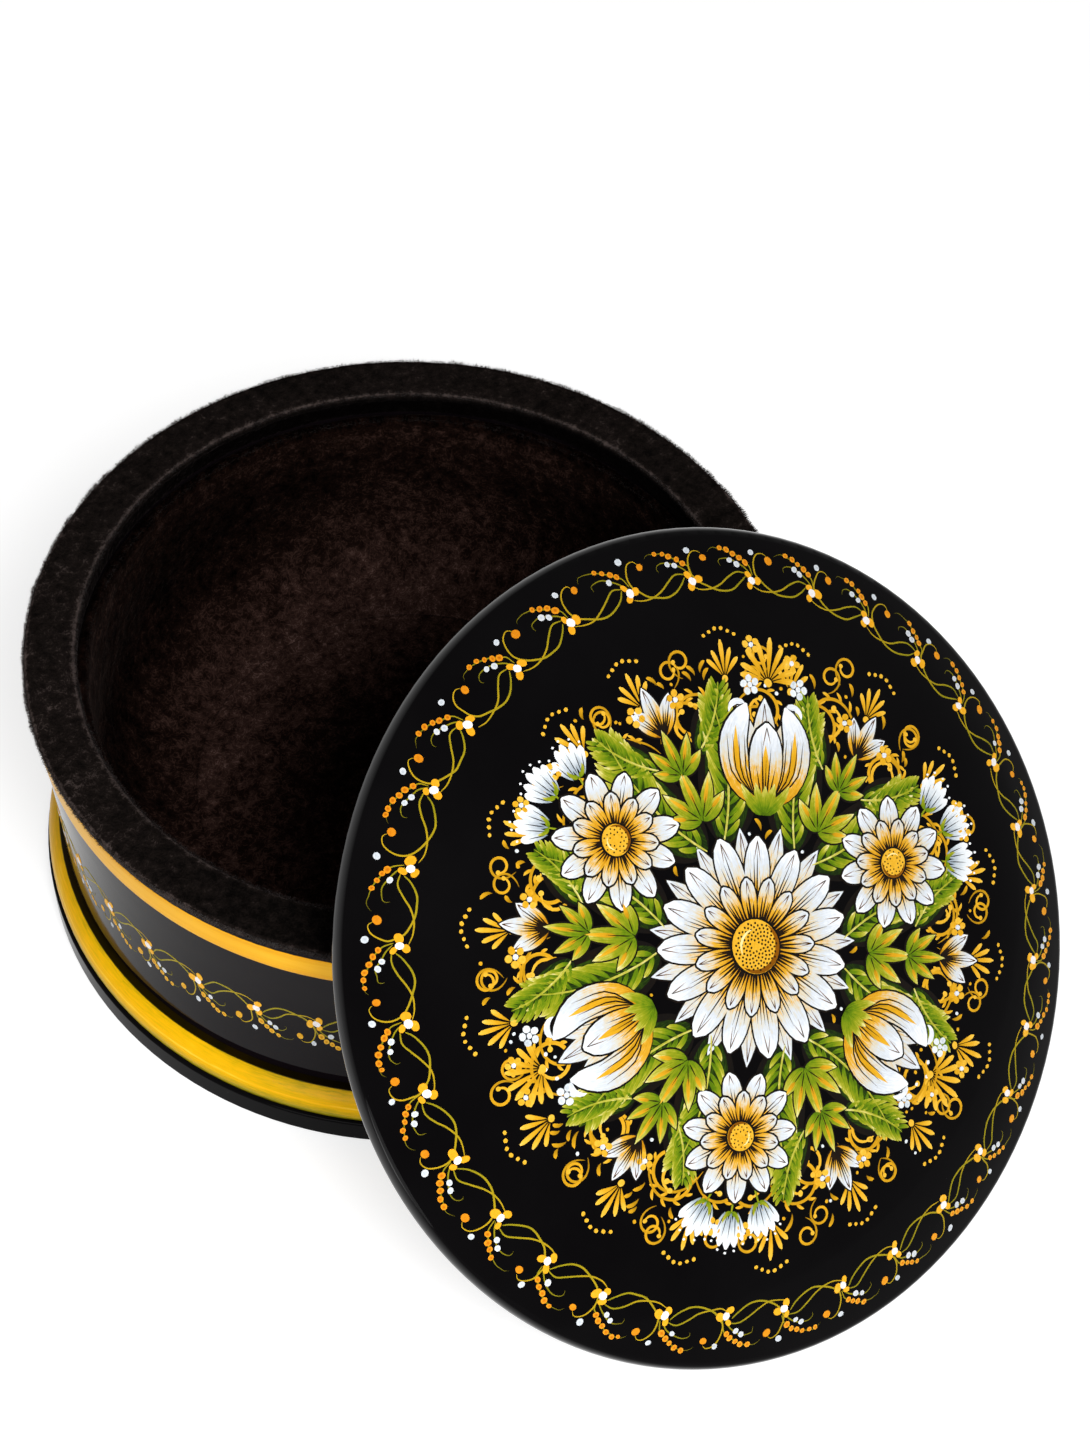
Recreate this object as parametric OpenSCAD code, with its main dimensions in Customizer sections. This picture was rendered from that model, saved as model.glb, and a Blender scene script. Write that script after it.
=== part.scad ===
// Round lacquered wooden box with a velvet rim and lining.
// Its domed lid is off and leans on the rim, with its lower edge on the table.
// Millimetres, +Z up. The origin is the centre of the box's underside, and the lid leans towards -Y.

/* [Box] */
// Outside diameter of the box at the upper band
box_d = 160; // [120:1:220]
// Height of the wood, from the table to the velvet rim
wood_h = 68; // [54:1:110]
// Thickness of the turned wall at the rim
wall_t = 9.2; // [7:0.2:14]
// How far the wall draws in below the upper band
cove_in = 2; // [0.8:0.1:4]
// Height of the flat upper band
band_h = 6.6; // [3:0.1:10]
// Height of the black shoulder above the band
shoulder_h = 2.4; // [1.4:0.1:4]

/* [Base] */
// Height of the foot below the bead
foot_h = 6.9; // [4:0.1:10]
// How far the foot stands out past the band
foot_out = 2.2; // [1.4:0.1:4]
// Height of the half-round bead
bead_h = 7.9; // [5:0.1:11]
// How far the bead swells between its two edges
bead_bulge = 1.3; // [0.6:0.1:2.4]
// Height of the groove between the bead and the wall
groove_h = 4; // [2:0.1:6]
// How deep the groove is cut into the wall
groove_in = 0.8; // [0.3:0.1:1.6]
// How far the base board rises inside the wall
board_rise = 2.2; // [1:0.1:6]

/* [Velvet] */
// Thickness of the velvet on the rim, with its pile
rim_t = 1.9; // [1.2:0.1:3]
// How far the rim's velvet stands out past the band
rim_out = 0.9; // [0.3:0.1:1.6]
// How far the rim's velvet folds down inside, from its top
fold_h = 6.2; // [3:0.1:9]
// Thickness of that fold on the wood
fold_t = 0.85; // [0.5:0.05:1.4]
// Thickness of the velvet covered card on the inner wall
liner_t = 2.6; // [1.6:0.1:4]
// Radius of the curve that leads the lining from the wall into the floor
bowl_r = 20; // [8:0.5:36]
// Thickness of the velvet pad on the floor
pad_t = 1.6; // [1:0.1:3]

/* [Lid] */
// How far the lid stands out past the box's upper band
lid_out = 4.2; // [2:0.1:8]
// Rise of the lid's dome above its widest line
dome_h = 13.6; // [11:0.2:24]
// Height of the widest line above the lid's flat seat
lid_edge = 1.6; // [1:0.1:3]
// Depth of the recess turned in the lid's underside
recess_h = 5.4; // [3.6:0.1:7]
// How far the locating collar stands below the lid's seat
collar_h = 3.1; // [1.5:0.1:6]
// Thickness of the locating collar
collar_t = 3; // [2:0.1:5]
// Thickness of the velvet disc inside the lid
lid_lining_t = 1; // [0.6:0.1:1.6]
// Lean of the lid from the horizontal, in degrees
lean = 41.3; // [34:0.1:52]
// How far the leaning lid stands to one side of the box's middle
lid_side = 4.9; // [0:0.1:10]

/* [Fits] */
// Gap left between curved faces that are glued together
glue = 0.05; // [0.02:0.01:0.1]
// Play of the collar inside the velvet rim, on the radius
lid_play = 0.5; // [0.2:0.05:1]
// Play between the linings, and round the velvet disc of the lid
lining_play = 0.15; // [0.05:0.05:0.4]
// Gap left where the lid leans on the rim
lean_gap = 0.3; // [0.1:0.05:0.6]

/* [Hidden] */
$fn = 180;
cut = 1; // overrun of every cut

box_r = box_d / 2;
wood_in_r = box_r - wall_t;
band_top = wood_h - shoulder_h;
band_foot = band_top - band_h;
shoulder_round = shoulder_h / 2;

// Base, from the table up
bead_top = foot_h + bead_h;
groove_top = bead_top + groove_h;
board_top = bead_top + board_rise;
foot_r = box_r + foot_out;
foot_round = foot_h / 8;
bead_foot_r = foot_r - foot_round;
bead_lip = groove_in; // the bead's upper edge stands this far past the wall above it
bead_top_r = box_r - cove_in + bead_lip;
bead_seat_r = wood_in_r + wall_t / 3;
groove_r = box_r - cove_in - groove_in;

// The wall's cove is one large arc that ends upright at the groove
cove_rise = band_foot - groove_top;
cove_r = (cove_rise ^ 2 + cove_in ^ 2) / (2 * cove_in);

// The bead's face is an arc through its two edges
bead_edge_run = bead_foot_r - bead_top_r;
bead_chord = norm([bead_edge_run, bead_h]);
bead_r = (bead_chord ^ 2 / 4 + bead_bulge ^ 2) / (2 * bead_bulge);
bead_mid = [(bead_foot_r + bead_top_r) / 2, foot_h + bead_h / 2];
bead_face_turn = atan2(bead_edge_run, bead_h);
bead_center = bead_mid - (bead_r - bead_bulge) * [cos(bead_face_turn), sin(bead_face_turn)];

// Velvet
rim_top = wood_h + rim_t;
rim_out_r = box_r + rim_out;
rim_in_r = wood_in_r - glue - fold_t;
liner_in_r = wood_in_r - glue - liner_t;
liner_top = rim_top - fold_h - lining_play;
pad_top = board_top + pad_t;
bowl_foot_r = liner_in_r - bowl_r;

// Lid, in its own frame: z = 0 is its flat seat
lid_r = box_r + lid_out;
lid_h = lid_edge + dome_h;
collar_r = rim_in_r - lid_play;
collar_in_r = collar_r - collar_t;
recess_r = collar_r + glue;
ceiling_h = recess_h - lid_lining_t; // height of the lining's face above the seat
collar_round = collar_t / 4;

// The dome follows an ellipse as three arcs: edge, haunch and crown. Each crosses the next at a very small
// angle, because arcs that only touch leave a sliver between them.
edge_turn = 17.3; // place on the ellipse where the edge's arc ends
crown_turn = 48.7; // place on the ellipse where the crown's arc begins
edge_share = 1.47; // of the ellipse's own radius at its end
kink = 1;
kink_share = kink * PI / 180;
parts_per_mm = 100; // the edge's radius is rounded to these, so that it meets the rounding below it exactly
edge_dir = atan2(lid_r * sin(edge_turn), dome_h * cos(edge_turn));
crown_dir = atan2(lid_r * sin(crown_turn), dome_h * cos(crown_turn));
edge_r = round(edge_share * dome_h ^ 2 / lid_r * parts_per_mm) / parts_per_mm;
edge_end = lid_r - edge_r + edge_r * cos(edge_dir);
rise_left = dome_h - edge_r * sin(edge_dir);
cos_step = cos(edge_dir + kink) - cos(crown_dir);
sin_step = sin(crown_dir) - sin(edge_dir + kink);
crown_drop = 1 - sin(crown_dir + kink);
turn_area = cos_step * crown_drop - cos(crown_dir + kink) * sin_step;
haunch_r = (edge_end * crown_drop - rise_left * cos(crown_dir + kink)) / turn_area;
crown_r = (rise_left * cos_step - edge_end * sin_step) / turn_area;
edge_center = [lid_r - edge_r, lid_edge];
haunch_center = edge_center + edge_r * [cos(edge_dir), sin(edge_dir)]
    - haunch_r * [cos(edge_dir + kink), sin(edge_dir + kink)];
crown_center = [0, lid_h - crown_r];
haunch_end = edge_end - kink_share * sin(edge_dir) / (1 / edge_r - 1 / haunch_r);
crown_end = crown_r * cos(crown_dir + kink) - kink_share / (1 / haunch_r - 1 / crown_r);

// The leaning lid: its rounded edge stands on the table, and its lining lies on the rim's round edge
rim_round = rim_t / 2;
rest_z = (lid_r - lid_edge) * sin(lean) - lid_edge * cos(lean) + lid_edge;
rim_contact_r = rim_out_r - rim_round;
rim_contact_z = rim_top - rim_round;
rest_reach = (ceiling_h - rim_round - lean_gap - (rim_contact_z - rest_z) * cos(lean)) / sin(lean);
rest_y = rest_reach - rim_contact_r;

// Half section between two radii and two heights
module band_2d(inner_r, outer_r, low, high) {
    translate([inner_r, low])
        square([outer_r - inner_r, high - low]);
}

// What a convex rounding takes off an outer corner at [corner_r, corner_z]
module corner_waste_2d(corner_r, corner_z, round_r, side) {
    translate([corner_r, corner_z])
        mirror([0, side < 0 ? 1 : 0])
            difference() {
                translate([-round_r, -round_r])
                    square([round_r + cut, round_r + cut]);
                translate([-round_r, -round_r])
                    circle(round_r);
            }
}

// Turned wall: flat band, drawn-in cove and a groove above the bead
module wall_ring() {
    color("#17131a")
        rotate_extrude()
            difference() {
                band_2d(wood_in_r, box_r, bead_top, wood_h);
                translate([box_r - cove_in + cove_r, groove_top])
                    circle(cove_r, $fn = 720);
                band_2d(groove_r, box_r + cut, bead_top - cut, groove_top);
                corner_waste_2d(box_r, wood_h, shoulder_round, 1);
            }
}

// Half-round bead let in between the wall and the foot
module base_bead() {
    color("#d9b400")
        rotate_extrude() {
            band_2d(bead_seat_r, bead_top_r, foot_h, bead_top);
            intersection() {
                band_2d(bead_seat_r, foot_r + bead_bulge, foot_h, bead_top);
                translate(bead_center)
                    circle(bead_r);
            }
        }
}

// Turned base: the foot, the seat of the bead and a step that centres the wall
module base_board() {
    color("#120f13")
        rotate_extrude() {
            difference() {
                band_2d(0, foot_r, 0, foot_h);
                corner_waste_2d(foot_r, foot_h, foot_round, 1);
                corner_waste_2d(foot_r, 0, foot_round, -1);
            }
            band_2d(0, bead_seat_r - glue, 0, bead_top);
            band_2d(0, wood_in_r - glue, 0, board_top);
        }
}

// Velvet over the rim, rolled at its outer edge and folded down inside
module rim_velvet() {
    color("#1c171a")
        rotate_extrude() {
            band_2d(rim_in_r + rim_round, rim_contact_r, wood_h, rim_top);
            translate([rim_contact_r, rim_contact_z])
                circle(rim_round);
            translate([rim_in_r + rim_round, rim_contact_z])
                circle(rim_round);
            band_2d(rim_in_r, rim_in_r + fold_t, rim_top - fold_h + fold_t / 2, rim_contact_z);
            translate([rim_in_r + fold_t / 2, rim_top - fold_h + fold_t / 2])
                circle(fold_t / 2);
        }
}

// Padded velvet lining inside the wall, with a rolled upper edge and a foot that curves into the floor
module wall_velvet() {
    color("#3a2b2c")
        rotate_extrude() {
            band_2d(liner_in_r, liner_in_r + liner_t, board_top, liner_top - liner_t / 2);
            translate([liner_in_r + liner_t / 2, liner_top - liner_t / 2])
                circle(liner_t / 2);
            difference() {
                band_2d(bowl_foot_r, liner_in_r + liner_t / 2, board_top, pad_top + bowl_r);
                translate([bowl_foot_r + glue, pad_top + bowl_r])
                    circle(bowl_r);
            }
        }
}

// Velvet pad on the floor
module floor_velvet() {
    color("#42302f")
        rotate_extrude()
            difference() {
                band_2d(0, bowl_foot_r - lining_play, board_top, pad_top);
                corner_waste_2d(bowl_foot_r - lining_play, pad_top, pad_t / 4, 1);
            }
}

// Puts a piece of the lid where the lid leans
module leaning() {
    translate([lid_side, rest_y, rest_z])
        rotate([lean, 0, 0])
            children();
}

// One arc of the lid's profile, from the axis out to a radius and above a height
module dome_arc_2d(center, arc_r, outer_r, low) {
    intersection() {
        band_2d(0, outer_r, low, lid_h + cut);
        translate(center)
            circle(arc_r, $fn = 720);
    }
}

// Turned lid: the dome, a rounded edge and a recess underneath
module lid_dome() {
    color("#17131a")
        leaning()
            rotate_extrude()
                difference() {
                    union() {
                        dome_arc_2d(crown_center, crown_r, crown_end, 0);
                        dome_arc_2d(haunch_center, haunch_r, haunch_end, lid_edge);
                        dome_arc_2d(edge_center, edge_r, lid_r + cut, lid_edge);
                        band_2d(0, lid_r - lid_edge, 0, lid_edge + cut);
                        translate([lid_r - lid_edge, lid_edge])
                            intersection() {
                                circle(lid_edge);
                                translate([0, -lid_edge])
                                    square([lid_edge, lid_edge]);
                            }
                    }
                    band_2d(0, recess_r, -cut, recess_h);
                }
}

// Collar glued in the lid's recess, which drops inside the velvet rim
module lid_collar() {
    color("#1c171a")
        leaning()
            rotate_extrude()
                difference() {
                    band_2d(collar_in_r, collar_r, -collar_h, recess_h);
                    corner_waste_2d(collar_r, -collar_h, collar_round, -1);
                }
}

// Velvet disc inside the lid
module lid_velvet() {
    color("#3a2b2c")
        leaning()
            translate([0, 0, ceiling_h])
                cylinder(h = lid_lining_t, r = collar_in_r - lining_play);
}

wall_ring();
base_bead();
base_board();
rim_velvet();
wall_velvet();
floor_velvet();
lid_dome();
lid_collar();
lid_velvet();
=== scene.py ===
import math
import random

import bpy
import numpy as np
from mathutils import Matrix, Vector, noise
from mathutils.bvhtree import BVHTree


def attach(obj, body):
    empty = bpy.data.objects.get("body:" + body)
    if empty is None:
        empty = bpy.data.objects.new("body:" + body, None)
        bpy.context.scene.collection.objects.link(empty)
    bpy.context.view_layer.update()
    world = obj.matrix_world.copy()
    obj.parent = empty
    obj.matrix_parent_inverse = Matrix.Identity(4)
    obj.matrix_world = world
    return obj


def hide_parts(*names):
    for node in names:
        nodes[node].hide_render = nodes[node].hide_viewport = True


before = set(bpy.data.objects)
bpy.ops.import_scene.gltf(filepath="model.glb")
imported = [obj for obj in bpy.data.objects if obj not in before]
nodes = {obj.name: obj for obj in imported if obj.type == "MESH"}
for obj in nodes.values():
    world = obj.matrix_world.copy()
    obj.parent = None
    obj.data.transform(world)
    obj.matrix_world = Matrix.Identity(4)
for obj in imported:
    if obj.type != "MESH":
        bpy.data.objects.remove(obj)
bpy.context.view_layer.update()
scene = bpy.context.scene
mm = 0.001
upward = Vector((0, 0, 1))
rng = random.Random(2207)

camera = {
    "lens": 69.98, "film": 36, "near": 0.01,        # the film's height goes with the lens
    "azimuth": -43.56, "elevation": 52.69, "roll": 3.63,
    "aim": (0, 0, 0.0656), "right": 0.02835, "up": -0.01547, "away": 0.59446,
}


def addObject(name, data):
    thing = bpy.data.objects.new(name, data)
    scene.collection.objects.link(thing)
    return thing


def turned(degrees, axis):
    return Matrix.Rotation(math.radians(degrees), 4, axis)


def placeCamera(c):
    data = bpy.data.cameras.new("camera")
    data.sensor_fit = "VERTICAL"
    data.sensor_height = c["film"]
    data.lens = c["lens"]
    data.clip_start = c["near"]
    cam = addObject("camera", data)
    aimed = turned(c["azimuth"], "Z") @ turned(90 - c["elevation"], "X") @ turned(c["roll"], "Z")
    moved = Matrix.Translation((c["right"], c["up"], c["away"]))
    cam.matrix_world = Matrix.Translation(c["aim"]) @ aimed @ moved
    scene.camera = cam


placeCamera(camera)
print("camera is in place")


def linear(code):
    # the shader's linear colour for a colour code
    parts = [int(code[i:i + 2], 16) / 255 for i in (1, 3, 5)]
    return tuple(p / 12.92 if p <= 0.04045 else ((p + 0.055) / 1.055) ** 2.4 for p in parts) + (1.0,)


class Recipe:
    # a material with one principled shader, and short ways to add and join nodes
    def __init__(self, name, **sockets):
        self.mat = bpy.data.materials.new(name)
        self.mat.use_nodes = True
        self.tree = self.mat.node_tree
        self.tree.nodes.clear()
        self.out = self.add("OutputMaterial")
        self.skin = self.add("BsdfPrincipled")
        self.join(self.skin, 0, self.out, 0)
        for socket, value in sockets.items():
            self.skin.inputs[socket.replace("_", " ")].default_value = value

    def add(self, kind, inputs=None, **settings):
        node = self.tree.nodes.new("ShaderNode" + kind)
        for key, value in settings.items():
            setattr(node, key, value)
        for key, value in (inputs or {}).items():
            node.inputs[key].default_value = value
        return node

    def join(self, a, outlet, b, inlet):
        self.tree.links.new(a.outputs[outlet], b.inputs[inlet])
        return b

    def give(self, socket, node):
        self.join(node, 0, self.skin, socket)

    def stored(self, name):
        return self.add("Attribute", attribute_name=name)

    def place(self, **inputs):
        return self.join(self.add("TexCoord"), "Object", self.add("Mapping", inputs), "Vector")

    def noise(self, source, scale, detail=3, rough=0.55):
        tex = self.add("TexNoise", {"Scale": scale, "Detail": detail, "Roughness": rough})
        return self.join(source, "Vector", tex, "Vector")

    def ramp(self, source, stops, outlet=0, interpolation="LINEAR"):
        ramp = self.add("ValToRGB")
        ramp.color_ramp.interpolation = interpolation
        line = ramp.color_ramp.elements
        while len(line) < len(stops):
            line.new(0.5)
        for spot, (at, tint) in zip(line, stops):
            spot.position = at
            spot.color = linear(tint) if isinstance(tint, str) else (tint, tint, tint, 1)
        return self.join(source, outlet, ramp, "Fac")

    def bump(self, source, height, strength, under=None):
        bump = self.add("Bump", {"Strength": strength, "Distance": height})
        self.join(source, 0, bump, "Height")
        if under:
            self.join(under, 0, bump, "Normal")
        return bump

    def math(self, kind, a, b=None, outlet=0, value=None):
        node = self.add("Math", operation=kind)
        self.join(a, outlet, node, 0)
        if b is not None:
            self.join(b, 0, node, 1)
        if value is not None:
            node.inputs[1].default_value = value
        return node

    def stray(self, source, share):
        # how far a noise strays from its middle
        return self.math("MULTIPLY", self.math("SUBTRACT", source, value=0.5), value=share)

    def total(self, first, *others, outlet=0):
        for other in others:
            first, outlet = self.math("ADD", first, other, outlet), 0
        return first


def dress(material, *names):
    for name in names:
        nodes[name].material_slots[0].material = material


# how far the lid leans, in degrees, and where its middle is, in millimetres
lean = {"angle": 41.3, "at": (4.9, -91.154, 54.914)}
lidFrame = Matrix.Translation(Vector(lean["at"]) * mm) @ turned(lean["angle"], "X")

lacquer = {"black": ("#050405", "#0a090a"), "gloss": 0.045, "dull": 0.15,
           "cloud": 28, "rub": (900, 900, 140), "smear": 60, "swell": 110, "swellRise": 0.00006,
           "dust": 260, "dustSize": 0.035, "dustRise": 0.00012}
wallLacquer = dict(lacquer, black=("#0b070a", "#120d10"))
lip = {"from": 83.2, "to": 84.0, "span": 100, "gloss": 0.8}     # millimetres out from the lid's axis


def keepLipGlossy(r, look):
    # the lid's turned lip is never rubbed down, so it keeps its first gloss
    own = lidFrame.inverted()
    scale = 1 / (look["span"] * mm)
    at = r.place(Location=own.to_translation(), Rotation=own.to_euler())
    flat = r.join(at, 0, r.add("VectorMath", {1: (scale, scale, 0)}, operation="MULTIPLY"), 0)
    reach = r.join(flat, 0, r.add("VectorMath", operation="LENGTH"), 0)
    stops = [(look["from"] / look["span"], 0.0), (look["to"] / look["span"], look["gloss"])]
    r.give("Coat Weight", r.ramp(reach, stops, "Value"))


def blackLacquer(name, look, depth, edge=None):
    # many coats of clear lacquer over black, rubbed down by hand, with a little dust caught in them
    r = Recipe(name, IOR=1.5, Specular_IOR_Level=depth, Coat_Roughness=0.05, Coat_IOR=1.5)
    at = r.place()
    low, high = look["black"]
    r.give("Base Color", r.ramp(r.noise(at, look["cloud"], 4), [(0.3, low), (0.75, high)]))
    wearAndPaintedLight = r.math("MULTIPLY", r.noise(r.place(Scale=look["rub"]), 1.0, 2), r.noise(at, look["smear"], 5, 0.7))
    r.give("Roughness", r.ramp(wearAndPaintedLight, [(0.12, look["gloss"]), (0.55, look["dull"])]))
    specks = r.join(at, 0, r.add("TexVoronoi", {"Scale": look["dust"], "Randomness": 1}), "Vector")
    grit = r.ramp(specks, [(0.0, 1.0), (look["dustSize"], 0.0)], "Distance")
    swells = r.bump(r.noise(at, look["swell"], 2), look["swellRise"], 0.35)
    r.give("Normal", r.bump(grit, look["dustRise"], 0.3, swells))
    if edge:
        keepLipGlossy(r, edge)
    return r.mat


dress(blackLacquer("wall_ring_lacquer", wallLacquer, 0.02), "wall_ring")
dress(blackLacquer("base_board_lacquer", lacquer, 0.014), "base_board")
dress(blackLacquer("lid_dome_lacquer", lacquer, 0.022, lip), "lid_dome", "lid_collar")


def paintRecipe(name, look):
    return Recipe(name, Roughness=look["rough"], Specular_IOR_Level=look["shine"], Coat_Weight=look["coat"],
                  Coat_Roughness=look["coatRough"], Coat_IOR=look["coatIor"])


def handPaint(name, stops, look, streak, patch):
    # paint under clear lacquer: its colour runs along each stroke, with the hairs of the brush in it
    r = paintRecipe(name, look)
    hairs = r.noise(r.stored("brush"), 1.0, *look["hairs"])
    cloud = r.noise(r.place(), *look["cloud"])
    tone = r.total(r.stored("tone"), r.stray(hairs, streak), r.stray(cloud, patch), outlet="Fac")
    r.give("Base Color", r.ramp(tone, stops))
    r.give("Normal", r.bump(hairs, look["relief"], 0.5))
    return r.mat


# how far a hair twists, how wide its pale crest is, and the relief of hairs and of tufts in metres
pile = {"twist": 1.6, "crest": 0.06, "hairRise": 0.0005, "tuftRise": 0.002}


def velvet(name, look):
    # cut pile: its colour runs from nearly black to paler with the tone each piece carries, which holds
    # painted light and shade, with mottled patches and curly hairs in it
    r = Recipe(name, Roughness=1.0, Specular_IOR_Level=0.0, Sheen_Weight=look["sheen"], Sheen_Roughness=0.35,
               Sheen_Tint=linear(look["tint"]))
    at = r.place()
    patches = r.noise(at, look["patch"], 5, 0.62)
    tufts = r.noise(at, look["tuft"], 3, 0.6)
    curls = r.noise(at, look["curl"], 2, 0.5)
    curls.inputs["Distortion"].default_value = pile["twist"]
    crest = r.math("ABSOLUTE", r.math("SUBTRACT", curls, value=0.5))
    hairs = r.ramp(crest, [(0.0, look["hair"]), (pile["crest"], 0.0)])
    # the stored tone is the piece's painted light and shade; the patches, tufts and curls are the cloth's own
    shadeAndPile = r.total(r.stored("tone"), r.stray(patches, look["mottle"]), r.stray(tufts, look["grain"]), hairs,
                  outlet="Fac")
    r.give("Base Color", r.ramp(shadeAndPile, look["cloth"]))
    r.give("Normal", r.bump(curls, pile["hairRise"], 0.7, r.bump(tufts, pile["tuftRise"], 0.35)))
    return r.mat


def buildPiece(name, points, faces, material, body, slot, tone, brush=None, normals=None, smooth=True):
    mesh = bpy.data.meshes.new(name)
    mesh.from_pydata([tuple(p) for p in points], [], [tuple(f) for f in faces])
    mesh.polygons.foreach_set("use_smooth", [smooth] * len(mesh.polygons))
    mesh.attributes.new("tone", "FLOAT", "POINT").data.foreach_set("value", np.asarray(tone, np.float32))
    if brush is not None:
        flat = np.asarray(brush, np.float32).reshape(-1)
        mesh.attributes.new("brush", "FLOAT_VECTOR", "POINT").data.foreach_set("vector", flat)
    mesh.materials.append(material)
    mesh.validate()
    if normals is not None:
        mesh.normals_split_custom_set_from_vertices(normals)
    piece = addObject(name, mesh)
    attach(piece, body)
    return piece


def anglesOf(turns):
    return [2 * math.pi * j / turns for j in range(turns)]


def pointOn(r, a, z):
    return r * math.cos(a) * mm, r * math.sin(a) * mm, z * mm


def turnedGrid(rows, cols, closedRows=False, closedCols=True):
    # quads of a grid whose rows run along a profile and whose columns run round the axis
    faces = []
    for i in range(rows if closedRows else rows - 1):
        for j in range(cols if closedCols else cols - 1):
            here, ahead = i * cols, (i + 1) % rows * cols
            after = (j + 1) % cols
            faces.append((here + j, here + after, ahead + after, ahead + j))
    return faces


def roundProfile(points, step, closed=False):
    # a smooth line through profile points, in millimetres, with a point about every step
    pts = np.array(points, float)
    n = len(pts)
    out = []
    for i in range(n if closed else n - 1):
        p1, p2 = pts[i], pts[(i + 1) % n]
        p0 = pts[i - 1] if closed or i > 0 else 2 * p1 - p2
        p3 = pts[(i + 2) % n] if closed or i + 2 < n else 2 * p2 - p1
        for t in np.linspace(0, 1, max(2, round(float(np.linalg.norm(p2 - p1)) / step) + 1))[:-1]:
            out.append(0.5 * (2 * p1 + (p2 - p0) * t + (2 * p0 - 5 * p1 + 4 * p2 - p3) * t ** 2
                              + (3 * p1 - p0 - 3 * p2 + p3) * t ** 3))
    if not closed:
        out.append(pts[-1])
    return np.array(out)


lathePaint = {"rough": 0.4, "shine": 0.04, "coat": 0.35, "coatRough": 0.06, "coatIor": 1.2,
              "hairs": (4, 0.65), "cloud": (45, 3), "relief": 0.00005}
band = {"foot": 59.0, "top": 65.6, "radius": 80.0, "thick": 0.07, "waver": 0.12, "turns": 720,
        "across": (0, 0.02, 0.08, 0.3, 0.5, 0.7, 0.92, 0.98, 1.0),
        "rise": (-0.5, 0.45, 0.9, 1, 1, 1, 0.9, 0.45, -0.5),
        "streak": 0.6, "patch": 0.35,
        "paint": [(0.1, "#b87206"), (0.35, "#e3980c"), (0.65, "#f2b010"), (0.95, "#fcc230")]}


def upperBand(b):
    # yellow paint laid on the lathe: long streaks round the piece, thinner at its edges
    points, tone, brush = [], [], []
    for share, rise in zip(b["across"], b["rise"]):
        for a in anglesOf(b["turns"]):
            here = Vector((math.cos(a) * 3, math.sin(a) * 3, share * 2))
            waver = noise.noise(here * 1.7) * b["waver"] + noise.noise(here * 7) * b["waver"] * 0.4
            z = b["foot"] + (b["top"] - b["foot"]) * share + waver * (1 if share < 0.5 else -1)
            points.append(pointOn(b["radius"] + rise * b["thick"], a, z))
            tone.append(0.55 + 0.2 * math.sin(share * math.pi) - 0.25 * (share in (0, 1)))
            brush.append((math.cos(a) * 3, math.sin(a) * 3, z * 1.1))
    paint = handPaint("band_yellow", b["paint"], lathePaint, b["streak"], b["patch"])
    faces = turnedGrid(len(b["across"]), b["turns"])
    return buildPiece("upper_band", points, faces, paint, "box", "wall_lacquer", tone, brush)


upperBand(band)

bead = {"low": 6.9, "high": 14.8, "around": 16.0, "upward": 2600.0, "streak": 0.55, "patch": 0.5,
        "relief": 0.00006, "rough": 0.38, "shine": 0.04, "coat": 0.2, "coatRough": 0.05, "coatIor": 1.12,
        "paint": [(0.05, "#3a3606"), (0.3, "#96890a"), (0.52, "#dfae06"), (0.7, "#f6b80a"),
                  (0.95, "#ffd644")],
        "fade": [(0.0, 0.1), (0.14, 0.34), (0.36, 0.52), (0.5, 0.66), (0.55, 0.86), (0.6, 0.68), (0.85, 0.62),
                 (0.97, 0.5)],
        "ledge": [(0.975, 1.0), (0.99, 0.02)]}


def beadPaint(b):
    # brushed yellow with streaks, darker and olive towards its lower edge as painted shade on the underside,
    # with a narrow painted highlight along its crest, and its narrow upper ledge left black
    r = paintRecipe("bead_yellow", b)
    split = r.join(r.add("TexCoord"), "Object", r.add("SeparateXYZ"), "Vector")
    turn = r.add("Math", operation="ARCTAN2")
    r.join(split, 1, turn, 0)
    r.join(split, 0, turn, 1)
    around = r.add("CombineXYZ")
    r.join(r.math("MULTIPLY", turn, value=b["around"]), 0, around, 0)
    r.join(r.math("MULTIPLY", split, outlet=2, value=b["upward"]), 0, around, 1)
    streaks = r.noise(around, 1.0, 4, 0.6)
    coarse = r.noise(r.place(), 42, 4, 0.6)
    span = r.add("MapRange", {"From Min": b["low"] * mm, "From Max": b["high"] * mm})
    height = r.join(split, 2, span, "Value")
    # the height ramp paints the shade on the bead's underside and the bright band of painted highlight near
    # its crest
    tone = r.total(r.ramp(height, b["fade"]), r.stray(streaks, b["streak"]), r.stray(coarse, b["patch"]))
    face = r.join(r.ramp(tone, b["paint"]), 0, r.add("VectorMath", operation="MULTIPLY"), 0)
    r.join(r.ramp(height, b["ledge"]), 0, face, 1)
    r.give("Base Color", face)
    r.give("Normal", r.bump(streaks, b["relief"], 0.5))
    return r.mat


dress(beadPaint(bead), "base_bead")
print("lacquer and bands are on")


rim = {
    "profile": [(79.4, 67.95), (80.3, 68.0), (80.85, 68.35), (80.95, 68.95), (80.7, 69.5), (80.0, 69.82),
                (78.5, 69.95), (75.5, 70.0), (72.5, 69.92), (71.0, 69.78), (70.25, 69.4), (69.9, 68.8),
                (70.1, 68.1), (70.38, 67.4), (70.36, 65.2), (70.4, 63.95), (70.56, 63.74), (70.68, 64.0),
                (70.72, 65.2), (70.74, 67.92), (71.6, 67.98), (75.5, 68.0)],
    "turns": 760, "step": 0.4, "waver": 0.08, "nap": 0.09,
    "cloth": [(0.1, "#030202"), (0.45, "#0c0a09"), (0.75, "#1c1715"), (1.0, "#4c423f")],
    "sheen": 0.035, "tint": "#9a8c8a",
    "patch": 150, "tuft": 460, "curl": 700, "hair": 0.16, "mottle": 0.45, "grain": 0.75,
}


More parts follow.
